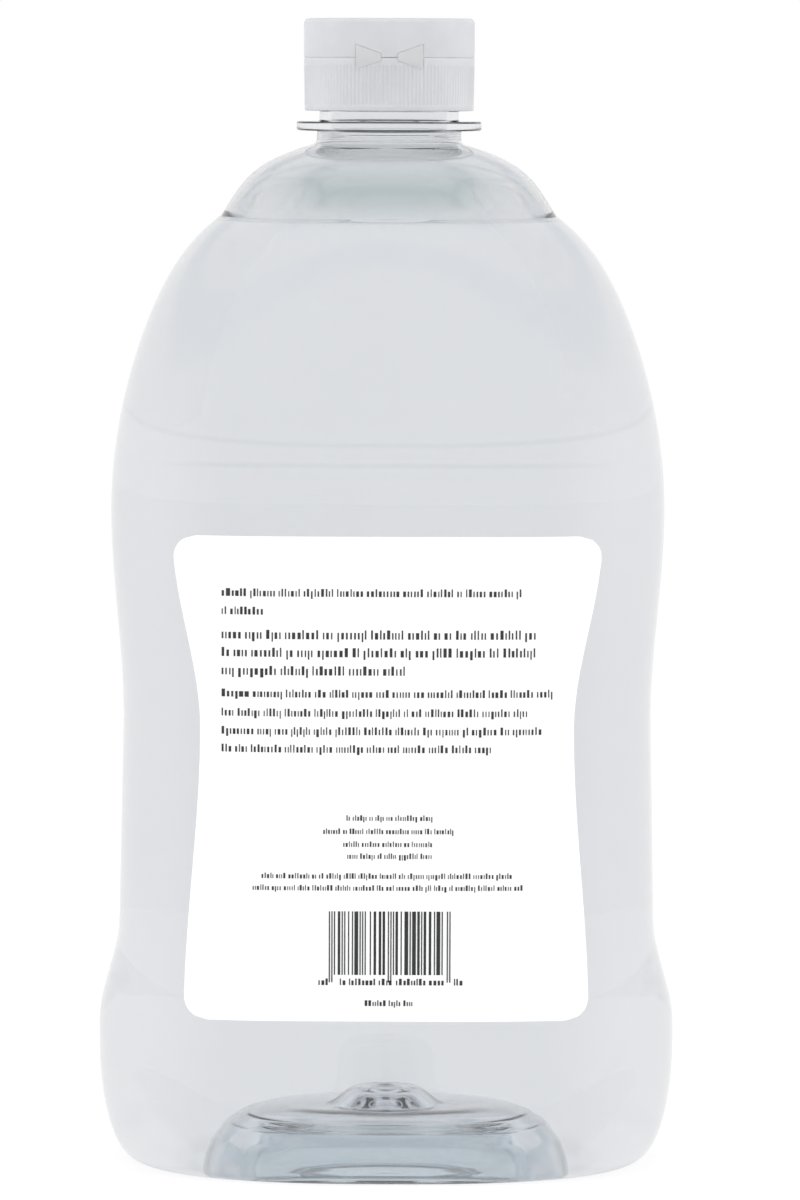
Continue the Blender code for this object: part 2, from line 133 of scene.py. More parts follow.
def buildMouldedSurface():
    # Group: slow waves and fine grain of a moulded surface, as a height and a tone
    group = bpy.data.node_groups.new("mouldedSurface", "ShaderNodeTree")
    for socketName, value in (("Wave Scale", 60.0), ("Grain Scale", 900.0), ("Grain Share", 0.3)):
        socket = group.interface.new_socket(socketName, in_out="INPUT", socket_type="NodeSocketFloat")
        socket.default_value = value
    group.interface.new_socket("Height", in_out="OUTPUT", socket_type="NodeSocketFloat")
    group.interface.new_socket("Tone", in_out="OUTPUT", socket_type="NodeSocketFloat")
    source = group.nodes.new("NodeGroupInput")
    result = group.nodes.new("NodeGroupOutput")
    place = group.nodes.new("ShaderNodeTexCoord")
    wave = group.nodes.new("ShaderNodeTexNoise")
    wave.inputs["Detail"].default_value = 2.0
    grain = group.nodes.new("ShaderNodeTexNoise")
    grain.inputs["Detail"].default_value = 3.0
    blend = group.nodes.new("ShaderNodeMix")
    group.links.new(place.outputs["Object"], wave.inputs["Vector"])
    group.links.new(place.outputs["Object"], grain.inputs["Vector"])
    group.links.new(source.outputs["Wave Scale"], wave.inputs["Scale"])
    group.links.new(source.outputs["Grain Scale"], grain.inputs["Scale"])
    group.links.new(source.outputs["Grain Share"], blend.inputs["Factor"])
    group.links.new(wave.outputs["Fac"], blend.inputs["A"])
    group.links.new(grain.outputs["Fac"], blend.inputs["B"])
    group.links.new(blend.outputs["Result"], result.inputs["Height"])
    group.links.new(wave.outputs["Fac"], result.inputs["Tone"])
    return group


mouldedSurface = buildMouldedSurface()


def addMouldedSurface(tree, shader, look):
    surface = tree.nodes.new("ShaderNodeGroup")
    surface.node_tree = mouldedSurface
    surface.inputs["Wave Scale"].default_value = look["waveScale"]
    surface.inputs["Grain Scale"].default_value = look["grainScale"]
    surface.inputs["Grain Share"].default_value = look["grainShare"]
    bump = tree.nodes.new("ShaderNodeBump")
    bump.inputs["Distance"].default_value = look["bumpDistance"]
    bump.inputs["Strength"].default_value = look["bumpStrength"]
    linkNodes(tree, surface, "Height", bump, "Height")
    linkNodes(tree, bump, "Normal", shader, "Normal")
    return surface


def addToneRamp(tree, surface, shader, look):
    # Colour that drifts a little between two tones
    ramp = tree.nodes.new("ShaderNodeValToRGB")
    ramp.color_ramp.elements[0].position = 0.35
    ramp.color_ramp.elements[0].color = (*look["dark"], 1.0)
    ramp.color_ramp.elements[1].position = 0.65
    ramp.color_ramp.elements[1].color = (*look["light"], 1.0)
    linkNodes(tree, surface, "Tone", ramp, "Fac")
    linkNodes(tree, ramp, "Color", shader, "Base Color")
    return ramp


def addMath(tree, operation, *values):
    # Each value is a number or the output socket of another node
    step = tree.nodes.new("ShaderNodeMath")
    step.operation = operation
    for socket, value in zip(step.inputs, values):
        if isinstance(value, float):
            socket.default_value = value
        else:
            tree.links.new(value, socket)
    return step.outputs[0]


def addRange(tree, source, low, high, start, end):
    # Smooth share between two places
    span = tree.nodes.new("ShaderNodeMapRange")
    span.interpolation_type = "SMOOTHSTEP"
    for name, value in (("From Min", low), ("From Max", high), ("To Min", start), ("To Max", end)):
        span.inputs[name].default_value = value
    tree.links.new(source, span.inputs["Value"])
    return span.outputs["Result"]


def addMix(tree, share, first, second):
    # Each colour is three numbers or the output socket of another node
    mix = tree.nodes.new("ShaderNodeMix")
    mix.data_type = "RGBA"
    tree.links.new(share, mix.inputs["Factor"])
    for name, colour in (("A", first), ("B", second)):
        if isinstance(colour, tuple):
            mix.inputs[name].default_value = (*colour, 1.0)
        else:
            tree.links.new(colour, mix.inputs[name])
    return mix.outputs["Result"]


def addOvalReach(tree, place, ovalHalfWidth, ovalHalfDepth):
    # 1 on an oval about the axis, less inside it and more outside
    flatten = tree.nodes.new("ShaderNodeVectorMath")
    flatten.operation = "MULTIPLY"
    flatten.inputs[1].default_value = (1 / ovalHalfWidth, 1 / ovalHalfDepth, 0.0)
    linkNodes(tree, place, "Object", flatten, 0)
    outward = tree.nodes.new("ShaderNodeVectorMath")
    outward.operation = "LENGTH"
    linkNodes(tree, flatten, "Vector", outward, 0)
    return outward.outputs["Value"]


# The blown wall is thickest over the dome's flat faces and in the base, where its tint is deepest; the
# tint there is also painted shade, darker over the dome and blue-grey in the base recess
plasticLook = dict(
    dark=(0.862, 0.871, 0.886), light=(0.870, 0.879, 0.893), ior=1.575,
    waveScale=45.0, grainScale=400.0, grainShare=0.02, bumpDistance=0.4 * mm, bumpStrength=0.10,
    creaseShadeTint=(0.818, 0.832, 0.848), creasePlace=163 * mm, creaseWidth=0.9 * mm,
    sideHighlightTint=(0.918, 0.922, 0.932), sideStart=33 * mm, sideEnd=58 * mm,
    domeThickWallAndShadeTint=(0.718, 0.758, 0.768), domeStart=214 * mm, domeEnd=222 * mm, domeFade=224 * mm,
    domeTop=233 * mm, domeInner=14 * mm, domeOuter=30 * mm,
    baseThickWallAndShadeTint=(0.790, 0.838, 0.862), baseTop=11 * mm, baseFade=14 * mm, baseHalfWidth=42 * mm,
    baseHalfDepth=30 * mm, bossShare=0.25, bossTop=19 * mm)


def makeClearPlastic():
    material, tree, shader = newMaterial("clearPlastic")
    shader.inputs["Transmission Weight"].default_value = 1.0
    shader.inputs["Roughness"].default_value = 0.0
    shader.inputs["IOR"].default_value = plasticLook["ior"]
    surface = addMouldedSurface(tree, shader, plasticLook)
    ramp = addToneRamp(tree, surface, shader, plasticLook)
    place = tree.nodes.new("ShaderNodeTexCoord")
    split = tree.nodes.new("ShaderNodeSeparateXYZ")
    linkNodes(tree, place, "Object", split, "Vector")
    across = addMath(tree, "ABSOLUTE", split.outputs["X"])
    height = split.outputs["Z"]
    # The shoulders start at a faint crease, along which a painted shade line darkens the wall
    fromCrease = addMath(tree, "ABSOLUTE", addMath(tree, "SUBTRACT", height, plasticLook["creasePlace"]))
    creaseShadeShare = addRange(tree, fromCrease, 0.0, plasticLook["creaseWidth"], 1.0, 0.0)
    # Painted highlight: the wall turns paler towards both sides
    sideHighlightShare = addRange(tree, across, plasticLook["sideStart"], plasticLook["sideEnd"], 0.0, 1.0)
    # Darker over the dome's flat faces, for the thicker wall and as painted shade
    overDome = addRange(tree, height, plasticLook["domeStart"], plasticLook["domeEnd"], 0.0, 1.0)
    underNeck = addRange(tree, height, plasticLook["domeFade"], plasticLook["domeTop"], 1.0, 0.0)
    flatFace = addRange(tree, across, plasticLook["domeInner"], plasticLook["domeOuter"], 1.0, 0.0)
    domeThickWallAndShadeShare = addMath(tree, "MULTIPLY", addMath(tree, "MULTIPLY", overDome, underNeck), flatFace)
    # Only the recess is tinted, for its thicker wall and as painted blue-grey shade, not the corners of
    # the foot round it, and its boss is pale
    outward = addOvalReach(tree, place, plasticLook["baseHalfWidth"], plasticLook["baseHalfDepth"])
    lowDown = addRange(tree, height, plasticLook["baseTop"], plasticLook["baseFade"], 1.0,
                       plasticLook["bossShare"])
    underBoss = addRange(tree, height, plasticLook["bossTop"], plasticLook["bossTop"] + mm, 1.0, 0.0)
    inside = addRange(tree, outward, 0.97, 1.03, 1.0, 0.0)
    baseThickWallAndShadeShare = addMath(tree, "MULTIPLY", addMath(tree, "MULTIPLY", lowDown, underBoss), inside)
    colour = ramp.outputs["Color"]
    for share, tint in ((creaseShadeShare, "creaseShadeTint"), (sideHighlightShare, "sideHighlightTint"), (domeThickWallAndShadeShare, "domeThickWallAndShadeTint"),
                        (baseThickWallAndShadeShare, "baseThickWallAndShadeTint")):
        colour = addMix(tree, share, colour, plasticLook[tint])
    tree.links.new(colour, shader.inputs["Base Color"])
    return material


soapLook = dict(colour=(0.985, 0.99, 0.995), ior=1.36)


def makeClearSoap():
    material, tree, shader = newMaterial("clearSoap")
    shader.inputs["Base Color"].default_value = (*soapLook["colour"], 1.0)
    shader.inputs["Transmission Weight"].default_value = 1.0
    shader.inputs["Roughness"].default_value = 0.0
    shader.inputs["IOR"].default_value = soapLook["ior"]
    return material


def makeSolidLook(name, look):
    # A surface that light doesn't pass through, with its own drift of tone and fine relief
    material, tree, shader = newMaterial(name)
    shader.inputs["Roughness"].default_value = look["roughness"]
    surface = addMouldedSurface(tree, shader, look)
    addToneRamp(tree, surface, shader, look)
    return material, tree, shader


capLook = dict(
    dark=(0.565, 0.572, 0.593), light=(0.590, 0.597, 0.618), roughness=0.36, ior=1.49,
    waveScale=120.0, grainScale=2200.0, grainShare=0.5, bumpDistance=0.06 * mm, bumpStrength=0.25,
    scatter=0.25, scatterRadius=(1.0, 1.0, 1.1), scatterScale=1.5 * mm)


def makeMilkyPlastic():
    material, tree, shader = makeSolidLook("milkyPlastic", capLook)
    shader.inputs["IOR"].default_value = capLook["ior"]
    shader.inputs["Subsurface Weight"].default_value = capLook["scatter"]
    shader.inputs["Subsurface Radius"].default_value = capLook["scatterRadius"]
    shader.inputs["Subsurface Scale"].default_value = capLook["scatterScale"]
    return material


filmLook = dict(
    dark=(0.945, 0.945, 0.945), light=(0.96, 0.96, 0.96), roughness=0.42, coat=0.12, coatRoughness=0.25,
    waveScale=30.0, grainScale=1500.0, grainShare=0.4, bumpDistance=0.03 * mm, bumpStrength=0.2,
    paintedBackGlow=0.62)


def makeWhiteFilm():
    material, tree, shader = makeSolidLook("whiteFilm", filmLook)
    shader.inputs["Coat Weight"].default_value = filmLook["coat"]
    shader.inputs["Coat Roughness"].default_value = filmLook["coatRoughness"]
    # Painted light: seen through the clear pack, the film glows in place of the light that the pack
    # gathers behind it
    path = tree.nodes.new("ShaderNodeLightPath")
    gathered = addMath(tree, "MULTIPLY", path.outputs["Is Transmission Ray"], filmLook["paintedBackGlow"])
    shader.inputs["Emission Color"].default_value = (1.0, 1.0, 1.0, 1.0)
    tree.links.new(gathered, shader.inputs["Emission Strength"])
    return material


inkLook = dict(
    dark=(0.016, 0.016, 0.017), light=(0.026, 0.026, 0.027), roughness=0.5,
    waveScale=200.0, grainScale=2500.0, grainShare=0.5, bumpDistance=0.02 * mm, bumpStrength=0.2)

foamLook = dict(
    dark=(0.86, 0.86, 0.85), light=(0.90, 0.90, 0.89), roughness=0.85,
    waveScale=300.0, grainScale=4000.0, grainShare=0.7, bumpDistance=0.08 * mm, bumpStrength=0.5)

clearPlastic = makeClearPlastic()
clearSoap = makeClearSoap()
milkyPlastic = makeMilkyPlastic()
whiteFilm = makeWhiteFilm()
printInk = makeSolidLook("printInk", inkLook)[0]
sealFoam = makeSolidLook("sealFoam", foamLook)[0]
print("materials are ready")


# Bottle outline as a function of height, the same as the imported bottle's

body = dict(
    footHalfWidth=56.0 * mm, footHalfDepth=35.5 * mm, footSquareness=2.55,
    bulgeHeight=27.5 * mm, bulgeHalfWidth=bottleHigh.x, bulgeHalfDepth=bottleHigh.y,
    gripBottom=32.5 * mm, gripTop=57.0 * mm, gripHalfWidth=61.4 * mm,
    waistHeight=104.0 * mm, waistHalfWidth=60.4 * mm,
    panelBottom=labelLow.z, panelHalfDepth=40.0 * mm, panelSquareness=3.6,
    shoulderHeight=150.0 * mm, shoulderHalfWidth=63.2 * mm,
    ridgeHeight=163.0 * mm, ridgeWidth=11.0 * mm, ridgeHalfDepth=40.5 * mm,
    creaseHeight=217.4 * mm, creaseHalfWidth=38.3 * mm, creaseHalfDepth=33.5 * mm,
    creaseSquareness=2.3, neckRoot=233.8 * mm, neckRadius=16.5 * mm, filletDown=0.35 * mm,
    filletUp=0.9 * mm, wall=0.7 * mm)

# Underside: a gate dot on a round boss, on the vault of an oval recess inside the foot ring
base = dict(
    gateRadius=3.6 * mm, gateDepth=0.5 * mm, bossTopRadius=6.0 * mm, bossHeight=17.0 * mm,
    bossFootRadius=13.0 * mm, bossFootHeight=13.4 * mm, vaultHalfWidth=20.0 * mm, vaultHalfDepth=14.5 * mm,
    vaultHeight=13.4 * mm, wallHalfWidth=37.0 * mm, wallHalfDepth=27.0 * mm, wallBend=3.2, wallFall=0.5,
    beads=((0.62, 0.14 * mm), (0.80, 0.26 * mm), (0.92, 0.20 * mm)), beadWidth=0.03,
    lipHeight=1.2 * mm, recessHalfWidth=42.0 * mm,
    recessHalfDepth=30.0 * mm, wall=1.3 * mm, wallFade=4 * mm)


def footShare(height):
    left = 1 - height / body["bulgeHeight"]
    return (1 - left * left) ** 0.4


def shoulderShare(height, start):
    share = (height - start) / (body["creaseHeight"] - start)
    return 0.78 * share ** 2 + 0.22 * share ** 10


def domeShare(height):
    share = (height - body["creaseHeight"]) / (body["neckRoot"] - body["creaseHeight"])
    return 0.47 * share + 0.53 * share ** 4.5


def halfWidth(height):
    if height < body["bulgeHeight"]:
        return between(body["footHalfWidth"], body["bulgeHalfWidth"], footShare(height))
    if height < body["gripTop"]:
        share = (height - body["gripBottom"]) / (body["gripTop"] - body["gripBottom"])
        return between(body["bulgeHalfWidth"], body["gripHalfWidth"], easeStep(share))
    if height < body["waistHeight"]:
        share = (height - body["gripTop"]) / (body["waistHeight"] - body["gripTop"])
        return between(body["gripHalfWidth"], body["waistHalfWidth"], share)
    if height < body["shoulderHeight"]:
        share = (height - body["waistHeight"]) / (body["shoulderHeight"] - body["waistHeight"])
        return between(body["waistHalfWidth"], body["shoulderHalfWidth"], easeStep(share))
    if height < body["creaseHeight"]:
        fall = shoulderShare(height, body["shoulderHeight"])
        return between(body["shoulderHalfWidth"], body["creaseHalfWidth"], fall)
    return between(body["creaseHalfWidth"], body["neckRadius"], domeShare(height))


def halfDepth(height):
    if height < body["bulgeHeight"]:
        return between(body["footHalfDepth"], body["bulgeHalfDepth"], footShare(height))
    if height < body["ridgeHeight"] - body["ridgeWidth"]:
        share = (height - body["bulgeHeight"]) / (body["panelBottom"] - body["bulgeHeight"])
        return between(body["bulgeHalfDepth"], body["panelHalfDepth"], easeStep(share))
    if height < body["ridgeHeight"]:
        share = (height - body["ridgeHeight"] + body["ridgeWidth"]) / body["ridgeWidth"]
        return between(body["panelHalfDepth"], body["ridgeHalfDepth"], easeStep(share))
    if height < body["creaseHeight"]:
        fall = shoulderShare(height, body["ridgeHeight"])
        return between(body["ridgeHalfDepth"], body["creaseHalfDepth"], fall)
    return between(body["creaseHalfDepth"], body["neckRadius"], domeShare(height))


def squarenessAt(height):
    if height < body["panelBottom"]:
        return between(body["footSquareness"], body["panelSquareness"], height / body["panelBottom"])
    if height < body["ridgeHeight"]:
        return body["panelSquareness"]
    if height < body["creaseHeight"]:
        share = (height - body["ridgeHeight"]) / (body["creaseHeight"] - body["ridgeHeight"])
        return between(body["panelSquareness"], body["creaseSquareness"], share)
    share = (height - body["creaseHeight"]) / (body["neckRoot"] - body["creaseHeight"])
    return between(body["creaseSquareness"], 2.0, share)


# A ring is (half width, half depth, height, squareness)

def roundRing(radius, height):
    return (radius, radius, height, 2.0)


def bodyRing(height):
    return (halfWidth(height), halfDepth(height), height, squarenessAt(height))


def pushUpRings():
    rings = []
    for share, rise in ((0.0, 1.0), (0.7, 1.0), (0.85, 0.75), (1.0, 0.25), (1.15, 0.0)):
        rings.append(roundRing(max(base["gateRadius"] * share, 0.4 * mm),
                               base["bossHeight"] - base["gateDepth"] * rise))
    for step in range(13):
        share = step / 12
        rings.append(roundRing(between(base["bossTopRadius"], base["bossFootRadius"], share),
                               between(base["bossHeight"], base["bossFootHeight"], easeStep(share))))
    for step in range(1, 7):
        share = step / 6
        rings.append((between(base["bossFootRadius"], base["vaultHalfWidth"], share),
                      between(base["bossFootRadius"], base["vaultHalfDepth"], share),
                      between(base["bossFootHeight"], base["vaultHeight"], easeStep(share)),
                      between(2.0, body["footSquareness"], share)))
    wallHeight = base["vaultHeight"] - base["lipHeight"]
    for step in range(1, 61):
        share = math.sin(math.pi / 2 * step / 60)
        rise = wallHeight * (1 - share ** base["wallBend"]) ** base["wallFall"]
        for place, height in base["beads"]:
            rise += height * math.exp(-((share - place) / base["beadWidth"]) ** 2)
        rings.append((between(base["vaultHalfWidth"], base["wallHalfWidth"], share),
                      between(base["vaultHalfDepth"], base["wallHalfDepth"], share),
                      base["lipHeight"] + rise, body["footSquareness"]))
    for step in range(1, 7):
        share = step / 6
        rings.append((between(base["wallHalfWidth"], base["recessHalfWidth"], share),
                      between(base["wallHalfDepth"], base["recessHalfDepth"], share),
                      base["lipHeight"] * (1 - share) ** 1.5, body["footSquareness"]))
    return rings


def stepsAfter(start, end, count, power=1.0):
    return [between(start, end, ((i + 1) / count) ** power) for i in range(count)]


def stepsBefore(start, end, count, power=1.0):
    return [end - (end - start) * (1 - (i + 1) / count) ** power for i in range(count)]


def sideRings():
    heights = [0.0]
    heights += stepsAfter(0.0, body["bulgeHeight"], 18, 2.0)
    heights += stepsAfter(body["bulgeHeight"], body["gripTop"], 12)
    heights += stepsAfter(body["gripTop"], body["waistHeight"], 6)
    heights += stepsAfter(body["waistHeight"], body["shoulderHeight"], 8)
    heights += stepsAfter(body["shoulderHeight"], body["ridgeHeight"], 6)
    heights += stepsBefore(body["ridgeHeight"], body["creaseHeight"], 20, 1.7)
    heights += stepsBefore(body["creaseHeight"], body["neckRoot"], 16, 1.6)
    rings = [bodyRing(height) for height in heights if height < body["neckRoot"] - body["filletDown"]]
    # The dome runs up into the neck through a fillet
    start = bodyRing(body["neckRoot"] - body["filletDown"])
    corner = bodyRing(body["neckRoot"])
    end = roundRing(body["neckRadius"], body["neckRoot"] + body["filletUp"])
    for step in range(9):
        share = step / 8
        rings.append(tuple(between(between(a, b, share), between(b, c, share), share)
                           for a, b, c in zip(start, corner, end)))
    return rings


def innerRings(outside, extra=0.0):
    # The skin inside a wall that is thick in the base and thin above the foot
    moved = []
    for index, (width, depth, height, square) in enumerate(outside):
        before = outside[max(index - 1, 0)]
        after = outside[min(index + 1, len(outside) - 1)]
        along = (after[0] + after[1] - before[0] - before[1]) / 2
        rise = after[2] - before[2]
        length = math.hypot(along, rise)
        inRecess = 0.0
        if height < base["bossHeight"] + mm:
            inRecess = easeStep((base["recessHalfWidth"] - width) / base["wallFade"])
        distance = between(body["wall"], base["wall"], inRecess) + extra
        moved.append((width - distance * rise / length, depth - distance * rise / length,
                      height + distance * along / length, square))
    return moved


def holdFlats(rings):
    # A ring close to each end of a long flat span keeps its shading flat up to the bend
    spans = [math.hypot(b[0] - a[0], b[2] - a[2]) for a, b in zip(rings, rings[1:])]
    held = [rings[0]]
    close = 0.06 * mm
    for index, length in enumerate(spans):
        start, end = rings[index], rings[index + 1]
        besides = [spans[i] for i in (index - 1, index + 1) if 0 <= i < len(spans)]
        if length > 0.5 * mm and length > 3 * min(besides):
            for share in (close / length, 1 - close / length):
                held.append(tuple(between(a, b, share) for a, b in zip(start, end)))
        held.append(end)
    return held


def placeRing(verts, angleLayer, ring):
    width, depth, height, square = ring
    for vert in verts:
        across, along = math.cos(vert[angleLayer]), math.sin(vert[angleLayer])
        x = width * math.copysign(abs(across) ** (2 / square), across)
        y = depth * math.copysign(abs(along) ** (2 / square), along)
        vert.co = (x, y, height)


def growLoft(rings, segments, joinEnds=False):
    # Extrude a circle from ring to ring; each new ring takes its own oval
    bm = bmesh.new()
    angleLayer = bm.verts.layers.float.new("angle")
    bmesh.ops.create_circle(bm, segments=segments, radius=1.0)
    for vert in bm.verts:
        vert[angleLayer] = math.atan2(vert.co.y, vert.co.x)
    verts, edges = list(bm.verts), list(bm.edges)
    firstEdges = list(edges)
    placeRing(verts, angleLayer, rings[0])
    for ring in rings[1:]:
        verts, edges = growRing(bm, edges)
        placeRing(verts, angleLayer, ring)
    if joinEnds:
        bmesh.ops.bridge_loops(bm, edges=firstEdges + edges)
    else:
        bmesh.ops.contextual_create(bm, geom=firstEdges)
        bmesh.ops.contextual_create(bm, geom=edges)
    return bm


# Bottle

neck = dict(
    flangeRadius=21.1 * mm, flangeBottom=236.8 * mm, flangeThickness=2.1 * mm, beadRadius=15.9 * mm,
    beadLength=2.4 * mm, finishRadius=14.8 * mm, boreRadius=13.2 * mm, edge=0.45 * mm,
    stepTop=237.2 * mm, stepBottom=236.5 * mm, lineCount=4, lineDepth=0.03 * mm,
    threadPitch=4.233 * mm, threadRadius=15.95 * mm, threadTurns=1.6, threadHalfWidth=0.85 * mm,
    threadStart=1.5 * mm)


def neckRings():
    rings = []
    root = body["neckRoot"] + body["filletUp"]
    span = neck["flangeBottom"] - root
    # Fine mould lines round the neck under the flange
    lineSteps = 24
    for step in range(1, lineSteps + 1):
        share = step / lineSteps
        wave = math.sin(math.pi * neck["lineCount"] * share) ** 2
        rings.append(roundRing(body["neckRadius"] - neck["lineDepth"] * wave, root + span * share))
    flangeTop = neck["flangeBottom"] + neck["flangeThickness"]
    edge = neck["edge"]
    for centreZ, startAngle in ((neck["flangeBottom"] + edge, -90), (flangeTop - edge, 0)):
        for step in range(6):
            angle = math.radians(startAngle + 18 * step)
            reach = neck["flangeRadius"] - edge + edge * math.cos(angle)
            rings.append(roundRing(reach, centreZ + edge * math.sin(angle)))
    beadTop = flangeTop + neck["beadLength"]
    lip = (neck["finishRadius"] - neck["boreRadius"]) / 2
    top = bottleHigh.z
    rings += [roundRing(neck["beadRadius"] + 0.25 * mm, flangeTop),
              roundRing(neck["beadRadius"], flangeTop + 0.25 * mm),
              roundRing(neck["beadRadius"], beadTop - 0.2 * mm),
              roundRing(neck["beadRadius"] - 0.2 * mm, beadTop),
              roundRing(neck["finishRadius"] + 0.1 * mm, beadTop + 0.5 * mm),
              roundRing(neck["finishRadius"], beadTop + 0.8 * mm)]
    for step in range(9):
        angle = math.pi * step / 8
        reach = neck["finishRadius"] - lip + lip * math.cos(angle)
        rings.append(roundRing(reach, top - lip * 0.6 + lip * 0.6 * math.sin(angle)))
    # Below the flange the bore steps out to the thin blown wall
    blownRadius = body["neckRadius"] - body["wall"]
    for step in range(9):
        share = step / 8
        rings.append(roundRing(between(neck["boreRadius"], blownRadius, easeStep(share)),
                               between(neck["stepTop"], neck["stepBottom"], share)))
    rings.append(roundRing(blownRadius, root + 0.05 * mm))
    return rings


def threadRidge(bm, radius, crest, pitch, turns, halfWidth, startZ):
    # Section spun up a helix, then pulled in towards its ends
    stepsPerTurn = 72
    count = round(turns * stepsPerTurn)
    root = radius + math.copysign(0.15 * mm, radius - crest)
    bmesh.ops.create_circle(bm, segments=4, radius=1.0, cap_ends=True)
    flank = 0.35 * halfWidth
    corners = ((root, -halfWidth), (crest, -flank), (crest, flank), (root, halfWidth))
    for vert, (reach, height) in zip(bm.verts, corners):
        vert.co = (reach, 0.0, height)
    bmesh.ops.spin(bm, geom=bm.verts[:] + bm.edges[:] + bm.faces[:], axis=(0, 0, 1), cent=(0, 0, 0),
                   dvec=(0, 0, pitch / stepsPerTurn), angle=2 * math.pi * turns, steps=count,
                   use_duplicate=False)
    length = pitch * turns
    for vert in bm.verts:
        reach = math.hypot(vert.co.x, vert.co.y)
        share = min(max(vert.co.z / length, 0.0), 1.0)
        taper = easeStep(min(share, 1 - share) * turns * 4)
        drawn = between(root, reach, max(taper, 0.1))
        vert.co = (vert.co.x * drawn / reach, vert.co.y * drawn / reach, vert.co.z + startZ)


def makeBottleShell():
    outside = pushUpRings() + sideRings()
    inside = innerRings(outside)
    bm = growLoft(holdFlats(outside + neckRings() + list(reversed(inside[:-1]))), 160)
    addObject("bottleShell", bm, clearPlastic, "bottle", ["bottle"], smoothAngle=35)


def makeNeckThread():
    bm = bmesh.new()
    beadTop = neck["flangeBottom"] + neck["flangeThickness"] + neck["beadLength"]
    threadRidge(bm, neck["finishRadius"], neck["threadRadius"], neck["threadPitch"], neck["threadTurns"],
                neck["threadHalfWidth"], beadTop + neck["threadStart"])
    addObject("neckThread", bm, clearPlastic, "bottle")


makeBottleShell()
makeNeckThread()
print("bottle is blown")


# Soap

soap = dict(overlap=0.06 * mm, meniscus=0.2 * mm)


def makeSoapVolume():
    skin = innerRings(pushUpRings() + sideRings(), -soap["overlap"])
    fill = soapHigh.z
    start = next(i for i, ring in enumerate(skin) if ring[2] > body["shoulderHeight"])
    rings = skin[:start]
    for before, after in zip(skin[start - 1:], skin[start:]):
        if after[2] >= fill:
            share = (fill - before[2]) / (after[2] - before[2])
            rings.append(tuple(between(a, b, share) for a, b in zip(before, after)))
            break
        rings.append(after)
    rimWidth, rimDepth, rimHeight, rimSquare = rings[-1]
    # The surface curls up a little where it wets the wall
    for inward, lowered in ((0.4, 0.45), (1.0, 0.75), (2.0, 0.92), (4.0, 1.0)):
        rings.append((rimWidth - inward * mm, rimDepth - inward * mm,
                      rimHeight - soap["meniscus"] * lowered, rimSquare))
    bm = growLoft(rings, 160)
    addObject("soapVolume", bm, clearSoap, "bottle", ["liquid_soap"], smoothAngle=50)


makeSoapVolume()
print("soap is poured")


# Label

labelShape = dict(
    bottom=labelLow.z, top=labelHigh.z, topHalfWidth=48.0 * mm, waistHalfWidth=41.8 * mm,
    bottomHalfWidth=45.5 * mm, cornerRadius=5.2 * mm, standOff=0.04 * mm, thickness=0.12 * mm)


def labelHalfWidth(height):
    waist = body["waistHeight"]
    if height < waist:
        share = (waist - height) / (waist - labelShape["bottom"])
        side = between(labelShape["waistHalfWidth"], labelShape["bottomHalfWidth"], easeStep(share))
    else:
        share = (height - waist) / (labelShape["top"] - waist)
        side = between(labelShape["waistHalfWidth"], labelShape["topHalfWidth"], easeStep(share))
    radius = labelShape["cornerRadius"]
    edge = min(height - labelShape["bottom"], labelShape["top"] - height)
    if edge >= radius:
        return side
    rest = radius - max(edge, 0.0)
    return side - radius + math.sqrt(radius ** 2 - rest ** 2)


def panelPoint(x, height, standOff):
    width = halfWidth(height) + standOff
    depth = halfDepth(height) + standOff
    square = squarenessAt(height)
    return Vector((x, -depth * (1 - (abs(x) / width) ** square) ** (1 / square), height))


def makeBackLabel():
    columns, rows = 72, 96
    bm = bmesh.new()
    bmesh.ops.create_grid(bm, x_segments=columns, y_segments=rows, size=1.0)
    middle = (labelShape["bottom"] + labelShape["top"]) / 2
    half = (labelShape["top"] - labelShape["bottom"]) / 2
    for vert in bm.verts:
        u, v = vert.co.x, vert.co.y
        # Rows gather towards the rounded corners
        gathered = math.copysign(math.sin(math.pi / 2 * abs(v)), v) * 0.25 + v * 0.75
        gathered = max(-1.0, min(1.0, gathered))
        height = middle + half * gathered
        vert.co = panelPoint(u * labelHalfWidth(height), height, labelShape["standOff"])
    bmesh.ops.recalc_face_normals(bm, faces=bm.faces)
    if sum(face.normal.y for face in bm.faces) > 0:
        bmesh.ops.reverse_faces(bm, faces=bm.faces)
    bmesh.ops.solidify(bm, geom=list(bm.faces), thickness=-labelShape["thickness"])
    addObject("backLabel", bm, whiteFilm, "bottle", ["label"], smoothAngle=60)


makeBackLabel()
print("label is applied")


# Print: plain marks of letter size in place of the words, and plain bars in place of the code

printed = dict(
    standOff=0.17 * mm, thickness=0.02 * mm, leftMargin=-37.0,
    # Rows of the text block: middle height, right end, mark height, stroke, and whether it starts bold
    paragraphs=((134.5, 30.6, 1.75, 0.30, True), (130.4, -26.0, 1.75, 0.27, False),
                (125.1, 33.6, 2.05, 0.34, False), (121.1, 34.3, 2.05, 0.34, False),
                (117.0, 5.0, 2.05, 0.34, False),
                (111.9, 37.0, 1.75, 0.30, True), (107.6, 33.0, 1.75, 0.27, False),
                (103.5, 35.6, 1.75, 0.27, False), (99.5, 23.4, 1.75, 0.27, False)),
    # Centred rows: middle height, left end, right end, mark height, stroke
    centred=((84.0, -9.0, 10.4, 1.25, 0.22), (81.0, -14.2, 15.3, 1.25, 0.22),
             (78.1, -9.7, 11.1, 1.25, 0.22), (75.4, -8.8, 10.2, 1.25, 0.22),
             (70.9, -28.0, 29.3, 1.25, 0.22), (68.2, -30.0, 30.7, 1.25, 0.22),
             (42.1, -4.8, 6.0, 1.3, 0.28)),
    code=dict(left=-12.9, right=14.4, bottom=48.6, top=63.0, guardBottom=46.9, module=0.287),
    codeFoot=((-15.2, -14.2), (-10.4, 0.0), (2.2, 12.0), (15.2, 16.2)), codeFootHeight=46.9)


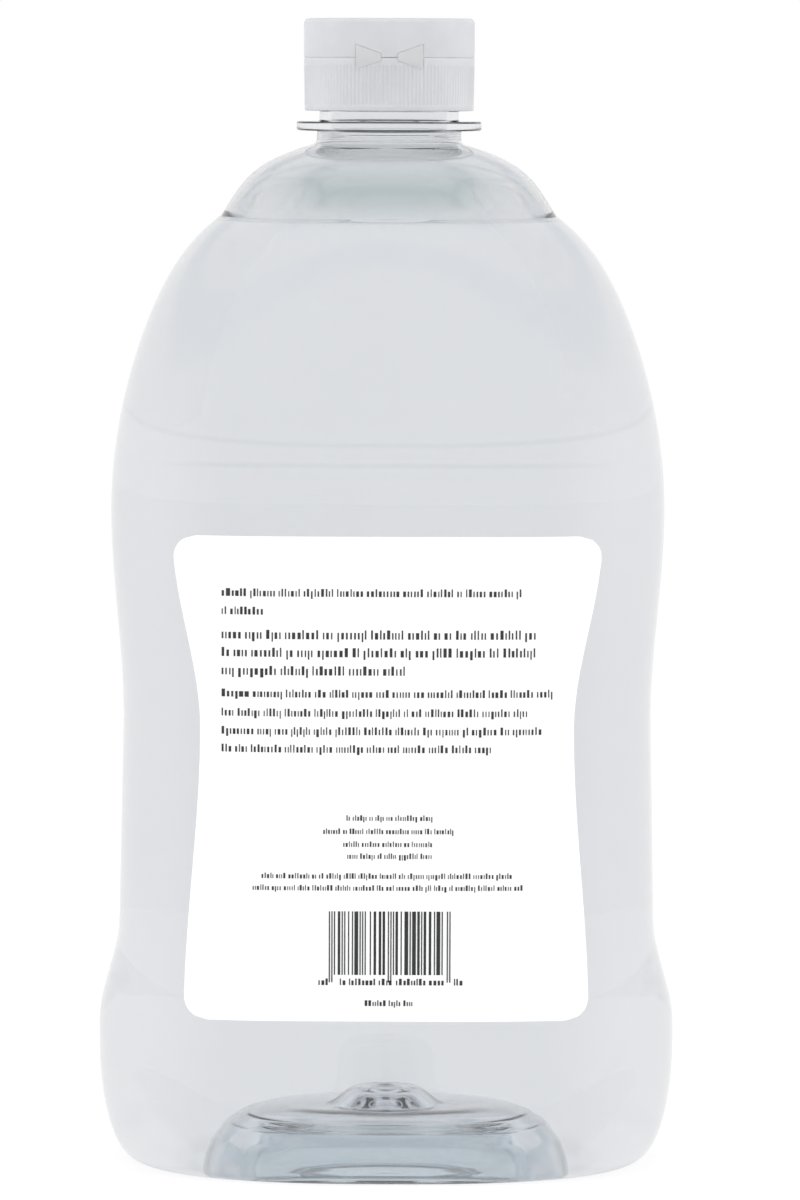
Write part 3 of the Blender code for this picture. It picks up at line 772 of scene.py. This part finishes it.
def addInkBar(bm, left, right, low, high):
    pieces = max(1, round((right - left) / 2.0))
    made = bmesh.ops.create_grid(bm, x_segments=pieces, y_segments=1, size=1.0)["verts"]
    for vert in made:
        x = between(left, right, (vert.co.x + 1) / 2) * mm
        height = between(low, high, (vert.co.y + 1) / 2) * mm
        vert.co = panelPoint(x, height, printed["standOff"])


def addMarkRow(bm, picker, left, right, middle, size, stroke, startsBold=False):
    # Words of two to nine upright marks; some marks are wider, taller or reach below the row
    x, words = left, 0
    low = middle - size * 0.42
    while x < right - size:
        weight = 1.5 if startsBold and words == 0 else 1.0
        for mark in range(picker.randint(2, 9)):
            width = stroke * weight * picker.choice((0.9, 1.0, 1.2, 1.7, 2.1))
            if x + width > right:
                break
            tall = picker.random() < 0.3
            deep = not tall and picker.random() < 0.1
            bottom = low - (0.28 * size if deep else 0.0)
            addInkBar(bm, x, x + width, bottom, low + size * (1.0 if tall else 0.72))
            x += width + size * picker.uniform(0.17, 0.26)
        x += size * 0.3
        words += 1


def addCodeBars(bm, picker, code):
    # Upright bars of random widths between longer pairs at both ends and in the middle
    middle = (code["left"] + code["right"]) / 2
    for guard in (code["left"], middle - 1.5 * code["module"], code["right"] - 3 * code["module"]):
        for bar in (guard, guard + 2 * code["module"]):
            addInkBar(bm, bar, bar + code["module"], code["guardBottom"], code["top"])
    for start, end in ((code["left"] + 4 * code["module"], middle - 2.5 * code["module"]),
                       (middle + 2.5 * code["module"], code["right"] - 4 * code["module"])):
        x = start
        while x < end - code["module"]:
            width = min(code["module"] * picker.choice((1, 1, 1, 2, 2, 3)), end - x)
            addInkBar(bm, x, x + width, code["bottom"], code["top"])
            x += width + code["module"] * picker.choice((1, 1, 2, 2, 3))


def makeLabelPrint():
    picker = random.Random(5)
    bm = bmesh.new()
    for height, right, size, stroke, bold in printed["paragraphs"]:
        addMarkRow(bm, picker, printed["leftMargin"], right, height, size, stroke, bold)
    for height, left, right, size, stroke in printed["centred"]:
        addMarkRow(bm, picker, left, right, height, size, stroke)
    addCodeBars(bm, picker, printed["code"])
    for left, right in printed["codeFoot"]:
        addMarkRow(bm, picker, left, right + 1.5, printed["codeFootHeight"], 1.5, 0.3)
    bmesh.ops.recalc_face_normals(bm, faces=bm.faces)
    for face in bm.faces:
        if face.normal.y > 0:
            face.normal_flip()
    bmesh.ops.solidify(bm, geom=bm.faces[:], thickness=-printed["thickness"])
    addObject("labelPrint", bm, printInk, "bottle", smoothAngle=60)


makeLabelPrint()
print("print is laid on the label")


# Turned pieces of the cap

def spinProfile(corners, rounding, steps):
    # Round the named corners of a closed section, then spin it about the axis
    bm = bmesh.new()
    verts = [bm.verts.new((radius, 0.0, height)) for radius, height in corners]
    face = bm.faces.new(verts)
    for index, (radius, segments) in rounding.items():
        bmesh.ops.bevel(bm, geom=[verts[index]], offset=radius, offset_type="OFFSET", segments=segments,
                        profile=0.5, affect="VERTICES", material=-1)
    bmesh.ops.delete(bm, geom=list(bm.faces), context="FACES_ONLY")
    geometry = list(bm.verts) + list(bm.edges)
    bmesh.ops.spin(bm, geom=geometry, axis=(0, 0, 1), cent=(0, 0, 0), angle=2 * math.pi, steps=steps,
                   use_merge=True, use_duplicate=False)
    bmesh.ops.remove_doubles(bm, verts=bm.verts, dist=0.000002)
    bmesh.ops.recalc_face_normals(bm, faces=bm.faces)
    return bm


capShape = dict(
    radius=baseHigh.x, draft=0.2 * mm, skirtWall=1.2 * mm, innerRadius=16.4 * mm, innerWall=1.0 * mm,
    innerLift=1.7 * mm, rimDepth=3.7 * mm, deckThickness=1.25 * mm, ribCount=132, ribDepth=0.16 * mm,
    ribTopBand=1.7 * mm, ribBottomBand=1.2 * mm, spoutRadius=3.3 * mm, spoutWall=1.0 * mm,
    threadCrest=15.1 * mm, threadTurns=1.5, threadHalfWidth=0.8 * mm)
deckTop = baseHigh.z - 3.0 * mm
capBottom = baseLow.z


def addRibs(bm):
    # Press the grip ribs into the outer skirt between its plain bands
    top = deckTop - capShape["ribTopBand"]
    bottom = capBottom + capShape["ribBottomBand"]
    fade = 0.35 * mm
    for vert in bm.verts:
        reach = math.hypot(vert.co.x, vert.co.y)
        if reach < capShape["radius"] - 0.6 * mm or not bottom < vert.co.z < top:
            continue
        angle = math.atan2(vert.co.y, vert.co.x)
        wave = 0.5 - 0.5 * math.cos(angle * capShape["ribCount"])
        ends = easeStep(min(vert.co.z - bottom, top - vert.co.z) / fade)
        depth = capShape["ribDepth"] * wave * ends
        vert.co.x -= depth * math.cos(angle)
        vert.co.y -= depth * math.sin(angle)


def splitSkirt(bm):
    # Level cuts that give the ribs their ends
    top = deckTop - capShape["ribTopBand"]
    bottom = capBottom + capShape["ribBottomBand"]
    for height in (bottom, bottom + 0.18 * mm, bottom + 0.36 * mm, top - 0.36 * mm, top - 0.18 * mm, top):
        bmesh.ops.bisect_plane(bm, geom=list(bm.verts) + list(bm.edges) + list(bm.faces), dist=0.000001,
                               plane_co=(0, 0, height), plane_no=(0, 0, 1))


def makeCapBase():
    outer = capShape["radius"]
    bottomOuter = outer - capShape["draft"]
    skirtInside = bottomOuter - capShape["skirtWall"]
    innerOutside = capShape["innerRadius"] + capShape["innerWall"]
    rimBottom = deckTop - capShape["rimDepth"]
    innerBottom = capBottom + capShape["innerLift"]
    deckBottom = deckTop - capShape["deckThickness"]
    spoutOuter = capShape["spoutRadius"] + capShape["spoutWall"]
    spoutTop = baseHigh.z
    corners = [
        (capShape["spoutRadius"], deckBottom), (capShape["spoutRadius"], spoutTop), (spoutOuter, spoutTop),
        (spoutOuter, deckTop), (outer, deckTop), (bottomOuter, capBottom), (skirtInside, capBottom),
        (skirtInside, rimBottom), (innerOutside, rimBottom), (innerOutside, innerBottom),
        (capShape["innerRadius"], innerBottom), (capShape["innerRadius"], deckBottom)]
    rounding = {1: (0.3 * mm, 4), 2: (0.3 * mm, 4), 3: (0.5 * mm, 4), 4: (0.25 * mm, 4), 5: (0.25 * mm, 4),
                6: (0.2 * mm, 2), 9: (0.25 * mm, 3), 10: (0.25 * mm, 3), 11: (0.4 * mm, 3)}
    bm = spinProfile(corners, rounding, capShape["ribCount"] * 4)
    splitSkirt(bm)
    addRibs(bm)
    return addObject("capBase", bm, milkyPlastic, "cap", ["cap_base"])


lidShape = dict(wall=1.2 * mm, topThickness=1.1 * mm, cornerRadius=1.1 * mm, plugRadius=3.0 * mm,
                plugTaper=0.3 * mm, plugWall=0.9 * mm, parting=0.06 * mm)


def makeCapLid():
    outer = lidHigh.x
    inside = outer - lidShape["wall"]
    lidBottom = deckTop + lidShape["parting"]
    underTop = lidHigh.z - lidShape["topThickness"]
    plugCore = lidShape["plugRadius"] - lidShape["plugWall"]
    taper = lidShape["plugTaper"]
    corners = [
        (0.0, lidHigh.z), (outer, lidHigh.z), (outer, lidBottom), (inside, lidBottom), (inside, underTop),
        (lidShape["plugRadius"], underTop), (lidShape["plugRadius"] - taper, lidLow.z),
        (plugCore - taper, lidLow.z), (plugCore - taper, underTop), (0.0, underTop)]
    rounding = {1: (lidShape["cornerRadius"], 8), 2: (0.2 * mm, 3), 3: (0.2 * mm, 3), 4: (0.8 * mm, 4),
                5: (0.5 * mm, 3), 6: (0.3 * mm, 3)}
    bm = spinProfile(corners, rounding, 264)
    return addObject("capLid", bm, milkyPlastic, "lid", ["cap_lid"])


wingShape = dict(
    innerX=1.85 * mm, outerX=wingHigh.x, innerHalf=0.7 * mm, outerHalf=(wingHigh.z - wingLow.z) / 2,
    thickness=0.28 * mm, inset=0.04 * mm, clearance=0.024 * mm, edge=0.06 * mm)


def wingFront(x):
    return -math.sqrt(capShape["radius"] ** 2 - x ** 2) + wingShape["inset"]


def wingReach(x):
    # Distance of a wing's far corner from the hinge line
    share = (x - wingShape["innerX"]) / (wingShape["outerX"] - wingShape["innerX"])
    half = between(wingShape["innerHalf"], wingShape["outerHalf"], share)
    return math.hypot(wingFront(x) + wingShape["thickness"] - hingeLine.y, half)


def makeHingeCutter():
    # Round clearances about the hinge line in which the wings swing, widening towards their outer ends
    steps = 6
    clearance = wingShape["clearance"]
    start = wingShape["innerX"] - clearance
    span = wingShape["outerX"] + clearance - start
    bm = bmesh.new()
    for side in (-1, 1):
        verts = bmesh.ops.create_circle(bm, segments=72, radius=1.0, cap_ends=True)["verts"]
        edges = verts[0].link_faces[0].edges[:]
        bmesh.ops.rotate(bm, verts=verts, cent=(0, 0, 0), matrix=Matrix.Rotation(math.pi / 2, 3, "Y"))
        for step in range(steps + 1):
            x = start + span * step / steps
            if step:
                verts, edges = growRing(bm, edges)
            reach = wingReach(min(max(x, wingShape["innerX"]), wingShape["outerX"])) + clearance
            for vert in verts:
                length = math.hypot(vert.co.y, vert.co.z)
                vert.co = (side * x, vert.co.y / length * reach, vert.co.z / length * reach)
        bmesh.ops.contextual_create(bm, geom=edges)
    bmesh.ops.translate(bm, verts=bm.verts, vec=(0, hingeLine.y, hingeLine.z))
    bmesh.ops.recalc_face_normals(bm, faces=bm.faces)
    return linkMesh("hingeCutter", bm)


def makeWing(side, name, nodeName):
    # One tie of the butterfly: a cube drawn out to a wedge that fits the round clearance
    bm = bmesh.new()
    bmesh.ops.create_cube(bm, size=2.0)
    lengthwise = [edge for edge in bm.edges if abs(edge.verts[0].co.x - edge.verts[1].co.x) > 1]
    bmesh.ops.subdivide_edges(bm, edges=lengthwise, cuts=5, use_grid_fill=True)
    for vert in bm.verts:
        share = (vert.co.x + 1) / 2
        x = between(wingShape["innerX"], wingShape["outerX"], share)
        y = wingFront(x) + wingShape["thickness"] * (vert.co.y + 1) / 2
        half = math.sqrt(wingReach(x) ** 2 - (y - hingeLine.y) ** 2)
        vert.co = (side * x, y, hingeLine.z + half * vert.co.z)
    bmesh.ops.recalc_face_normals(bm, faces=bm.faces)
    rim = [edge for edge in bm.edges if edge.calc_face_angle() > math.radians(50)]
    bmesh.ops.bevel(bm, geom=rim, offset=wingShape["edge"], offset_type="OFFSET", segments=3, profile=0.5,
                    affect="EDGES", material=-1)
    addObject(name, bm, milkyPlastic, "wings", [nodeName])


sealShape = dict(breadth=2.7 * mm, edge=0.15 * mm)


def makeSealRing():
    inside = sealHigh.x - sealShape["breadth"]
    outside = sealHigh.x
    corners = [(inside, sealLow.z), (outside, sealLow.z), (outside, sealHigh.z), (inside, sealHigh.z)]
    bm = spinProfile(corners, {corner: (sealShape["edge"], 2) for corner in range(4)}, 128)
    addObject("sealRing", bm, sealFoam, "seal", ["seal_washer"])


def makeCapThread():
    bm = bmesh.new()
    beadTop = neck["flangeBottom"] + neck["flangeThickness"] + neck["beadLength"]
    startZ = beadTop + neck["threadStart"] + neck["threadPitch"] / 2
    threadRidge(bm, capShape["innerRadius"] + 0.15 * mm, capShape["threadCrest"], neck["threadPitch"],
                capShape["threadTurns"], capShape["threadHalfWidth"], startZ)
    addObject("capThread", bm, milkyPlastic, "cap")


capBase = makeCapBase()
capLid = makeCapLid()
for capPiece in (capBase, capLid):
    cutAway(capPiece, makeHingeCutter())
makeWing(-1, "hingeWingLeft", "hinge_wing_left")
makeWing(1, "hingeWingRight", "hinge_wing_right")
makeSealRing()
makeCapThread()
print("cap is moulded")


# Floor, light and camera

# The tent is the light that gloss and clear plastic see, by the height of the direction they look in
studio = dict(
    floorSize=6.0, floorDrop=0.2 * mm, floorColour=(0.86, 0.86, 0.86), floorGlow=0.915, shadowShare=0.14,
    underShadowColour=(0.585, 0.665, 0.72), underHalfWidth=52 * mm, underHalfDepth=33 * mm, diffuseLight=0.62,
    tent=((0.0, 0.95), (0.32, 0.95), (0.42, 0.82), (0.50, 0.82), (0.58, 0.97), (0.80, 0.97), (0.86, 0.70),
          (0.95, 0.97)),
    boxes=(("leftBox", (-1.49, -0.63, 0.7), (0, 0, 0.13), (0.9, 1.3), 15.0),
           ("rightBox", (1.49, -0.63, 0.7), (0, 0, 0.13), (0.9, 1.3), 14.7),
           ("topBox", (0.0, -0.3, 1.6), (0, 0, 0.1), (1.2, 1.2), 5.0)))


def addPathMask(tree):
    # 1 where a camera, glossy or transmission ray looks, 0 for the light that falls on surfaces
    path = tree.nodes.new("ShaderNodeLightPath")
    mask = addMath(tree, "MAXIMUM", path.outputs["Is Camera Ray"], path.outputs["Is Glossy Ray"])
    return path, addMath(tree, "MAXIMUM", mask, path.outputs["Is Transmission Ray"])


def mixShaders(tree, share, first, second):
    mixer = tree.nodes.new("ShaderNodeMixShader")
    tree.links.new(share, mixer.inputs["Fac"])
    tree.links.new(first, mixer.inputs[1])
    tree.links.new(second, mixer.inputs[2])
    return mixer.outputs["Shader"]


def makeFloor():
    bm = bmesh.new()
    bmesh.ops.create_grid(bm, x_segments=2, y_segments=2, size=studio["floorSize"])
    bmesh.ops.translate(bm, verts=bm.verts, vec=(0, 0, -studio["floorDrop"]))
    floor = linkMesh("floor", bm)
    material, tree, shader = newMaterial("floorPaper")
    shader.inputs["Base Color"].default_value = (*studio["floorColour"], 1.0)
    shader.inputs["Roughness"].default_value = 0.9
    shader.inputs["Specular IOR Level"].default_value = 0.0
    # The camera sees white paper with the object's shadow
    shadow = tree.nodes.new("ShaderNodeBsdfDiffuse")
    shadow.inputs["Color"].default_value = (*[studio["shadowShare"]] * 3, 1.0)
    paper = tree.nodes.new("ShaderNodeEmission")
    paper.inputs["Strength"].default_value = studio["floorGlow"]
    shown = tree.nodes.new("ShaderNodeAddShader")
    linkNodes(tree, shadow, "BSDF", shown, 0)
    linkNodes(tree, paper, "Emission", shown, 1)
    # Painted shadow: glossy and transmission rays see the paper inside the foot ring glow darker and
    # bluer, where little light reaches it
    place = tree.nodes.new("ShaderNodeTexCoord")
    outward = addOvalReach(tree, place, studio["underHalfWidth"], studio["underHalfDepth"])
    beside = addRange(tree, outward, 0.55, 1.0, 0.0, 1.0)
    glow = tree.nodes.new("ShaderNodeEmission")
    tree.links.new(addMix(tree, beside, studio["underShadowColour"], (studio["tent"][0][1],) * 3),
                   glow.inputs["Color"])
    path, mask = addPathMask(tree)
    looked = mixShaders(tree, path.outputs["Is Camera Ray"], glow.outputs["Emission"],
                        shown.outputs["Shader"])
    surface = mixShaders(tree, mask, shader.outputs["BSDF"], looked)
    tree.links.new(surface, tree.nodes["Material Output"].inputs["Surface"])
    floor.data.materials.append(material)


def makeWorld():
    # White all round for the camera; gloss and glass see the tent instead
    world = bpy.data.worlds.new("studioWorld")
    bpy.context.scene.world = world
    world.use_nodes = True
    tree = world.node_tree
    background = tree.nodes["Background"]
    place = tree.nodes.new("ShaderNodeTexCoord")
    split = tree.nodes.new("ShaderNodeSeparateXYZ")
    ramp = tree.nodes.new("ShaderNodeValToRGB")
    ramp.color_ramp.interpolation = "EASE"
    stops = ramp.color_ramp.elements
    while len(stops) < len(studio["tent"]):
        stops.new(0.5)
    for stop, (position, light) in zip(stops, studio["tent"]):
        stop.position = position
        # Where the tent is darker than at the horizon it is also bluer
        deepened = min(light / studio["tent"][0][1], 1.0)
        stop.color = (light * (0.4 + 0.6 * deepened), light * (0.7 + 0.3 * deepened), light, 1.0)
    linkNodes(tree, place, "Generated", split, "Vector")
    linkNodes(tree, split, "Z", ramp, "Fac")
    path, mask = addPathMask(tree)
    seen = addMix(tree, mask, (studio["diffuseLight"],) * 3, ramp.outputs["Color"])
    shown = addMix(tree, path.outputs["Is Camera Ray"], seen, (1.0, 1.0, 1.0))
    tree.links.new(shown, background.inputs["Color"])
    background.inputs["Strength"].default_value = 1.0


def addSoftbox(name, location, target, size, power):
    data = bpy.data.lights.new(name, "AREA")
    data.shape = "RECTANGLE"
    data.size, data.size_y = size
    data.energy = power
    lamp = bpy.data.objects.new(name, data)
    lamp.location = location
    lamp.rotation_euler = (Vector(target) - Vector(location)).to_track_quat("-Z", "Y").to_euler()
    # The boxes light matt surfaces; gloss and clear plastic mirror the even tent instead
    lamp.visible_glossy = False
    lamp.visible_transmission = False
    bpy.context.scene.collection.objects.link(lamp)


view = dict(distance=1.25, height=0.2528, tiltDegrees=5.65, lens=163.76, leftOffset=12.5, rollDegrees=0.2,
            pictureHeight=1200)


def makeCamera():
    data = bpy.data.cameras.new("camera")
    data.sensor_width = 36.0
    data.lens = view["lens"]
    data.shift_x = view["leftOffset"] / view["pictureHeight"]
    data.clip_start = 0.05
    data.clip_end = 50.0
    camera = bpy.data.objects.new("camera", data)
    tilt = Matrix.Rotation(math.radians(90 - view["tiltDegrees"]), 4, "X")
    roll = Matrix.Rotation(math.radians(view["rollDegrees"]), 4, "Z")
    place = Matrix.Translation((0.0, -view["distance"], view["height"]))
    camera.matrix_world = place @ tilt @ roll
    bpy.context.scene.collection.objects.link(camera)
    bpy.context.scene.camera = camera


makeFloor()
makeWorld()
for box in studio["boxes"]:
    addSoftbox(*box)
makeCamera()
settings = bpy.context.scene
settings.view_settings.view_transform = "Standard"
settings.cycles.max_bounces = 40
settings.cycles.transmission_bounces = 40
print("studio is set")
